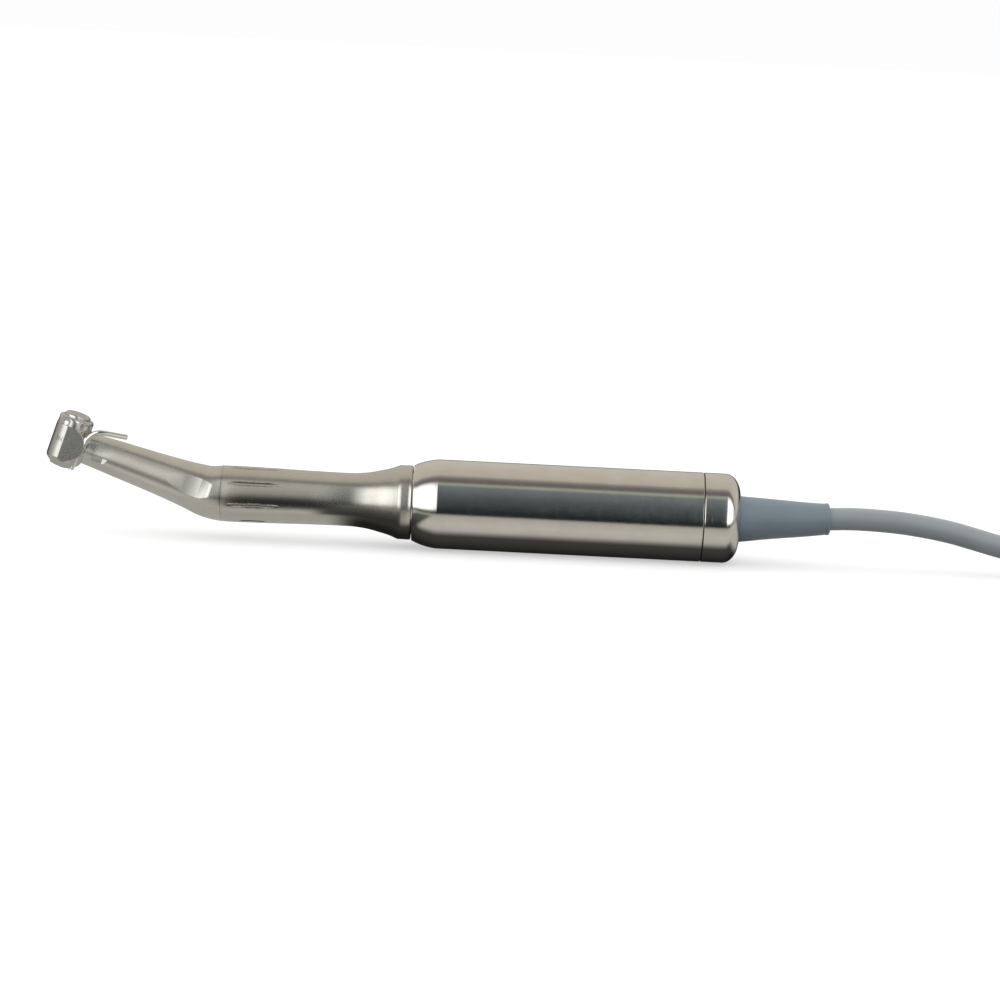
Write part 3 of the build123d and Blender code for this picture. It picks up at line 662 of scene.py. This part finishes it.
def scoop(side):
    """A slab whose inner face is hollowed outwards on a radius, to grind a flank of the neck."""
    start, end, steps = 24, 39.9, 48
    radius, deepest_x, deepest_y = 42, 29, 5.76
    verts = []
    for k in range(steps + 1):
        x = start + (end - start) * k / steps
        y = deepest_y + radius - math.sqrt(radius ** 2 - (x - deepest_x) ** 2)
        verts += [(x, side * y, -8), (x, side * y, 8), (x, side * 12, 8), (x, side * 12, -8)]
    faces = [(0, 1, 2, 3), tuple(range(4 * steps, 4 * steps + 4))]
    for k in range(steps):
        o = 4 * k
        faces += [(o + i, o + (i + 1) % 4, o + 4 + (i + 1) % 4, o + 4 + i) for i in range(4)]
    return verts, faces


def pocket_ramp(side):
    """The sloping end of a side pocket."""
    outline = [(9.6, 3.9), (10.1, 3.9), (11.4, 4.65), (11.4, 5.2), (9.6, 5.2)]    # x, y
    verts = [(x, side * y, z) for z in (-2.0, -0.5) for x, y in outline]
    sides = [(i, (i + 1) % 5, 5 + (i + 1) % 5, 5 + i) for i in range(5)]
    return verts, [(0, 1, 2, 3, 4), (9, 8, 7, 6, 5)] + sides


def build_neck():
    neck = new_object("neck_housing_shell", neck_shape())
    cutters = []
    for side in (-1, 1):
        turn = Matrix.Rotation(math.radians(side * 11.5), 4, "X")
        pocket = box((8.7, side * 5.0, -1.25), (2.8, 2.2, 1.5))
        cutters += [new_object("scoop_cutter", scoop(side), HEAD @ turn),
                    new_object("pocket_cutter", pocket, HEAD),
                    new_object("pocket_ramp", pocket_ramp(side), HEAD)]
    carve(neck, cutters)
    dress(neck, "blasted_steel", "contra", "neck_housing", sharp=24, look=BLASTED_NECK)


# ------------------------------------------------------------------ head
HEAD_R = 4.8
HEAD_TOP = 4.6
HEAD_BORE = 4.05
STUB_END = 4.99                           # x of the face that meets the neck


def build_head():
    """A cylinder, two flat cheeks and a neck stub, blended softly, then bored."""
    # standing outline from the open end up: z, radius
    profile = [(-6.6, 0), (-6.6, 3.1), (-6.54, 3.22), (-6.3, 3.27)]
    profile += smooth_curve([(-6.2, 3.3), (-5.93, 3.7), (-5.6, 4.1), (-5.25, 4.42),
                             (-4.85, 4.65), (-4.4, 4.79), (-3.9, HEAD_R)], 5)
    profile += [(4.52, HEAD_R), (HEAD_TOP, 4.72), (HEAD_TOP, 0)]
    head = new_object("head_housing_shell", stand(lathe_solid(profile, 192)))
    carve(head, [new_object("trim", box((0, 0, 0), (30, 9.24, 30)))], "INTERSECT")

    # cheek: the +x half of a chamfered disc along y
    r, half, chamfer = 4.65, 4.62, 0.16
    verts, faces = lathe_solid([(-half, 0), (-half, r - chamfer), (chamfer - half, r),
                                (half - chamfer, r), (half, r - chamfer), (half, 0)], 192)
    cheek = new_object("cheek", ([(y, x, z) for x, y, z in verts], faces))
    carve(cheek, [new_object("cheek_half", box((10, 0, 0), (20, 20, 20)))], "INTERSECT")
    stub = new_object("stub", rod(4.35, 0.5, STUB_END, 160))
    carve(head, [cheek, stub], "UNION")
    carve(head, [new_object("lid", box((0, 0, HEAD_TOP - 15), (40, 40, 30)))], "INTERSECT")

    apply_modifier(head, "even", "REMESH", mode="VOXEL", voxel_size=0.085 * MM, adaptivity=0.0)
    apply_modifier(head, "soften", "SMOOTH", factor=0.5, iterations=3)

    cavity = lathe_solid([(-7.5, 0), (-7.5, 2.35), (-5.7, 2.35), (-5.7, 3.25), (-4.1, 3.25),
                          (-4.1, HEAD_BORE), (5.5, HEAD_BORE), (5.5, 0)], 128)
    cutters = [new_object("cavity", stand(cavity)),
               new_object("neck_way", rod(3.3, 2.5, 7.0, 128)),
               new_object("face_cut", box((STUB_END + 5, 0, 0), (10, 30, 30)))]
    for k in range(5):                    # engraved ticks, long and short in turn
        tick = box((HEAD_R, 0, 0.7), (0.26, 0.15, 1.5 if k % 2 == 0 else 0.9))
        turn = Matrix.Rotation(math.radians(240 + 4.6 * (k - 2)), 4, "Z")
        cutters.append(new_object("tick", tick, turn))
    carve(head, cutters)
    move_to_head(head)
    dress(head, "blasted_steel", "contra", "head_housing", sharp=36, look=BLASTED_HEAD)


def build_head_cap():
    """The ring round the push button, with six dimples in its rim."""
    hole_r = 3.5
    profile = [(2.8, hole_r), (2.8, HEAD_BORE), (HEAD_TOP, HEAD_BORE), (HEAD_TOP, 4.68),
               (4.66, 4.75)]
    profile += smooth_curve([(5.9, 4.75), (6.4, 4.66), (6.78, 4.4), (7.0, 3.95)], 8)
    profile += [(7.0, 3.6), (6.94, 3.52), (6.8, hole_r), (4.1, hole_r), (4.1, 2.75),
                (3.9, 2.75), (3.9, hole_r)]
    cap = new_object("head_cap_shell", stand(lathe(profile, 240)))
    cutters = []
    for k in range(6):
        turn = Matrix.Rotation(math.radians(5.5 + 60 * k), 4, "Z")
        cutters.append(new_object("cap_dimple", ball(2.4, (6.76, 0, 5.62), 96), turn))
    carve(cap, cutters)
    move_to_head(cap)
    dress(cap, "polished_steel", "contra", "head_cap", sharp=24, look=SATIN_CAP)


def build_push_button():
    # standing outline: z, radius
    profile = [(6.9, 0), (6.9, 2.75), (4.95, 2.75), (4.95, 3.38), (5.02, 3.45), (7.42, 3.45),
               (7.5, 3.43), (7.74, 3.22), (7.86, 3.05), (7.9, 2.95), (7.9, 2.62), (7.82, 2.52),
               (7.8, 2.3), (7.84, 1.2), (7.85, 0)]
    dress(new_object("push_button_disc", stand(lathe_solid(profile, 192)), HEAD),
          "polished_steel", "button", "push_button", sharp=28, look=SATIN_CAP)


def build_irrigation_tube():
    """A thin tube that curves out of the head and runs along the neck, in a plane of fixed y."""
    y = -3.9
    steps = 12
    bend_end, run_end = (8.5, 6.03), (14.3, 7.013)    # x, z
    # (8.9, 6.1) only guides the bend; its span is dropped and the bend's end is doubled
    line = smooth_curve([(4.3, 1.2), (4.75, 3.2), (6.3, 5.3), bend_end, (8.9, 6.1)], steps)
    line = line[:-steps] + [bend_end]
    line += straight((8.9, 6.098), run_end, 10) + [run_end, (14.38, 7.026), (14.4, 7.03)]
    radii = [0.69] * (len(line) - 2) + [0.66, 0.6]
    shape = tube([(x, y, z) for x, z in line], radii, 48, bore=0.45)
    dress(new_object("irrigation_tube_bend", shape, HEAD),
          "polished_steel", "contra", "irrigation_tube", sharp=35)


# ------------------------------------------------------------------ world
# what glossy surfaces see: elevation in degrees (0 at -Y, 90 at +Z), sRGB colour
REFLECTED_STOPS = [
    (-180, (44, 44, 43)), (-168, (50, 50, 49)), (-160, (150, 149, 145)),
    (-148, (160, 159, 154)), (-110, (166, 165, 160)), (-72, (164, 162, 157)),
    (-58, (166, 163, 158)), (-44, (174, 170, 165)), (-26, (163, 161, 154)),
    (-19, (150, 148, 142)), (-16, (16, 22, 27)), (-8, (22, 28, 32)), (9, (46, 52, 55)),
    (27, (64, 69, 73)), (45, (86, 91, 95)), (58, (98, 104, 104)), (60, (140, 146, 132)),
    (66, (136, 141, 130)), (68.5, (88, 82, 80)), (77, (94, 88, 86)), (85, (126, 121, 118)),
    (91, (167, 162, 151)), (110, (174, 167, 156)), (144, (176, 172, 164)),
    (168, (168, 165, 158)), (174, (50, 50, 49)), (180, (44, 44, 43))]
REFLECTED_DIVISOR = 0.64                  # linear colours are divided by this, to brighten them


def build_world():
    world = bpy.data.worlds.new("studio")
    bpy.context.scene.world = world
    world.use_nodes = True
    world.node_tree.nodes.clear()
    graph = Graph(world.node_tree)
    xyz = graph.xyz("Generated")

    # bands of shade by elevation
    elevation = graph.elevation(xyz)
    turn = graph.math("ADD", graph.math("DIVIDE", elevation, 360.0), 0.5)
    bands = graph.colour_ramp(turn, [(angle / 360 + 0.5, rgb(*colour, divisor=REFLECTED_DIVISOR))
                                     for angle, colour in REFLECTED_STOPS])

    # bright side boxes towards both ends of X, dimmer at the very ends
    sideways = graph.math("ABSOLUTE", xyz["X"])
    side = graph.smooth(sideways, low=0.12, high=0.33)
    above = graph.smooth(elevation, low=-14, high=0)
    below = graph.math("SUBTRACT", 1.0, graph.smooth(elevation, low=52, high=72))
    mask = graph.math("MULTIPLY", side, graph.math("MULTIPLY", above, below))
    boxes = graph.mix(graph.smooth(sideways, low=0.84, high=0.97),
                      (2.1, 2.1, 2.06, 1), (0.8, 0.8, 0.78, 1))
    reflected = graph.mix(mask, bands, boxes)

    # soft light for matt surfaces: bright above, dim below
    ambient = graph.mix(graph.smooth(xyz["Z"], low=-0.5, high=0.9),
                        (0.28, 0.285, 0.29, 1), (1.75, 1.75, 1.74, 1))
    rays = graph.add("LightPath").outputs
    light = graph.mix(rays["Is Glossy Ray"], ambient, reflected)
    backdrop = (0.985, 0.985, 0.985, 1)
    colour = graph.mix(rays["Is Camera Ray"], light, backdrop)
    background = graph.add("Background", {"Color": colour})
    graph.add("OutputWorld", {0: background.outputs[0]})


# ------------------------------------------------------------------ floor, in metres
def build_floor():
    """A pale floor just under the product; returns its height."""
    half = 6.0
    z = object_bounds()[0][2] - 0.00005
    mesh = bpy.data.meshes.new("floor")
    mesh.from_pydata([(-half, -half, z), (half, -half, z), (half, half, z), (-half, half, z)],
                     [], [(0, 1, 2, 3)])
    floor = bpy.data.objects.new("floor", mesh)
    bpy.context.scene.collection.objects.link(floor)
    material, graph, surface = new_material("pale_floor")
    graph.fill(surface, {"Base Color": (0.40, 0.40, 0.40, 1), "Roughness": 0.9,
                         "Specular IOR Level": 0.0, "Emission Color": (1, 1, 1, 1),
                         "Emission Strength": 0.50})
    mesh.materials.append(material)
    floor.visible_glossy = False
    floor.visible_diffuse = False
    floor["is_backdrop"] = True
    return z


# ------------------------------------------------------------------ cards, in metres
# Glowing cards that only reflections see, fading out at their edges: painted reflections, light and
# dark, made for single parts.
def card_material(name):
    material = bpy.data.materials.new(name)
    material.use_nodes = True
    material.node_tree.nodes.clear()
    graph = Graph(material.node_tree)
    return material, graph, graph.xyz("Object")


def card_colour(graph, value, shades, divisor):
    """Slightly warm greys over a value; shades are (value, sRGB grey)."""
    low, high = shades[0][0], shades[-1][0]
    stops = [((at - low) / (high - low), rgb(grey, grey * 0.99, grey * 0.96, divisor))
             for at, grey in shades]
    return graph.colour_ramp(graph.map_range(value, low, high), stops)


def finish_card(material, graph, colour, cover, verts, faces, place=Matrix.Identity(4)):
    """cover is 0 where the card is clear and 1 where it is solid."""
    glow = graph.add("Emission", {"Color": colour})
    clear = graph.add("BsdfTransparent")
    mixed = graph.add("MixShader", {0: cover, 1: clear.outputs[0], 2: glow.outputs[0]})
    graph.add("OutputMaterial", {0: mixed.outputs[0]})
    mesh = bpy.data.meshes.new(material.name)
    mesh.from_pydata(verts, [], faces)
    mesh.materials.append(material)
    card = bpy.data.objects.new(material.name, mesh)
    bpy.context.scene.collection.objects.link(card)
    card.matrix_world = place
    for kind in ("camera", "diffuse", "shadow", "transmission", "volume_scatter"):
        setattr(card, "visible_" + kind, False)
    card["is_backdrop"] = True


def floor_card(name, x_range, x_fade, y_range, y_fade, z, shades, divisor):
    """A flat card whose shade goes by y; it fades at both x ends and at its -y edge."""
    material, graph, xyz = card_material(name)
    (x0, x1), (y0, y1) = x_range, y_range
    near = graph.smooth(xyz["Y"], y0, y0 + y_fade)
    ends = graph.math("MULTIPLY", graph.smooth(xyz["X"], x0, x0 + x_fade),
                      graph.smooth(xyz["X"], x1, x1 - x_fade))
    cover = graph.math("MULTIPLY", near, ends)
    finish_card(material, graph, card_colour(graph, xyz["Y"], shades, divisor), cover,
                [(x0, y0, z), (x1, y0, z), (x1, y1, z), (x0, y1, z)], [(0, 1, 2, 3)])


def curved_card(name, x_range, x_fades, radius, shades, divisor, place=Matrix.Identity(4)):
    """A strip of a cylinder about X, on the -y side; its shade goes by elevation in degrees."""
    steps = 60
    low_fade, high_fade = 10, 12          # degrees
    material, graph, xyz = card_material(name)
    x0, x1 = x_range
    low, high = shades[0][0], shades[-1][0]
    elevation = graph.elevation(xyz)
    ends = graph.math("MULTIPLY", graph.smooth(xyz["X"], x0, x0 + x_fades[0]),
                      graph.smooth(xyz["X"], x1, x1 - x_fades[1]))
    rims = graph.math("MULTIPLY", graph.smooth(elevation, low, low + low_fade),
                      graph.smooth(elevation, high, high - high_fade))
    cover = graph.math("MULTIPLY", ends, rims)
    verts = []
    for k in range(steps + 1):
        angle = math.radians(low + (high - low) * k / steps)
        verts += [(x, -radius * math.cos(angle), radius * math.sin(angle)) for x in x_range]
    faces = [(2 * k, 2 * k + 1, 2 * k + 3, 2 * k + 2) for k in range(steps)]
    finish_card(material, graph, card_colour(graph, elevation, shades, divisor), cover,
                verts, faces, place)


def build_cards(floor_z):
    # painted shade: a dark card under the motor, seen only in reflections, darkens the motor's
    # underside
    floor_card("motor_card", x_range=(-0.066, 0.055), x_fade=0.009,
               y_range=(-0.0155, 0.030), y_fade=0.0055, z=floor_z + 0.00002,
               shades=[(-0.009, 54), (-0.004, 29), (0.03, 28)], divisor=0.64)
    # painted shadow: a dark card under the grip's flare, seen only in reflections, darkens the
    # flare's lower half
    floor_card("flare_card", x_range=(-0.070, -0.0435), x_fade=0.005,
               y_range=(-0.042, -0.010), y_fade=0.010, z=floor_z + 0.00004,
               shades=[(-0.042, 78), (-0.022, 66), (-0.012, 40)], divisor=0.52)
    # painted reflection: bright and dark bands that only the grip reflects
    curved_card("grip_card", x_range=(-0.0955, -0.0600), x_fades=(0.002, 0.007), radius=0.024,
                shades=[(-60, 168), (-44, 165), (-37, 120), (-30, 40), (-22, 14), (-10, 12),
                        (-4, 26), (2, 66), (9, 106), (18, 130), (34, 143), (55, 148),
                        (66, 148)], divisor=0.52)
    # painted reflection: bright and dark bands that only the neck reflects, set in the head's frame
    curved_card("neck_card", x_range=(0.0055, 0.0320), x_fades=(0.001, 0.005), radius=0.021,
                shades=[(-60, 172), (-44, 172), (-34, 150), (-26, 104), (-18, 104), (-10, 140),
                        (0, 178), (22, 184), (34, 168), (45, 146), (66, 140)], divisor=0.55,
                place=axes_matrix(NECK_AXIS, Y_AXIS, CHUCK_AXIS, CHUCK * MM))


# ------------------------------------------------------------------ camera
def build_camera():
    """Looks along +Y from a little above, rolled slightly."""
    elevation, roll = math.radians(9.0), math.radians(2.86)
    distance = 0.880                      # metres
    x_axis = Vector((1, 0, 0))
    forward = Vector((0, math.cos(elevation), -math.sin(elevation)))
    level_up = Vector((0, math.sin(elevation), math.cos(elevation)))
    right = x_axis * math.cos(roll) + level_up * math.sin(roll)
    up = level_up * math.cos(roll) - x_axis * math.sin(roll)
    aim = Vector((-18.77, 0, 0)) * MM + up * 1.88 * MM
    data = bpy.data.cameras.new("camera")
    data.lens = 118.8
    data.sensor_width = 36
    data.clip_start = 0.01
    data.clip_end = 50
    camera = bpy.data.objects.new("camera", data)
    camera.matrix_world = axes_matrix(right, up, -forward, aim - forward * distance)
    bpy.context.scene.collection.objects.link(camera)
    bpy.context.scene.camera = camera
    bpy.context.scene.view_settings.view_transform = "Standard"


# ------------------------------------------------------------------ build
build_motor_sleeve()
build_rear_cap()
build_cable()
build_boot()
build_grip()
build_neck()
build_head()
build_head_cap()
build_push_button()
build_irrigation_tube()
build_world()
build_cards(build_floor())
build_camera()
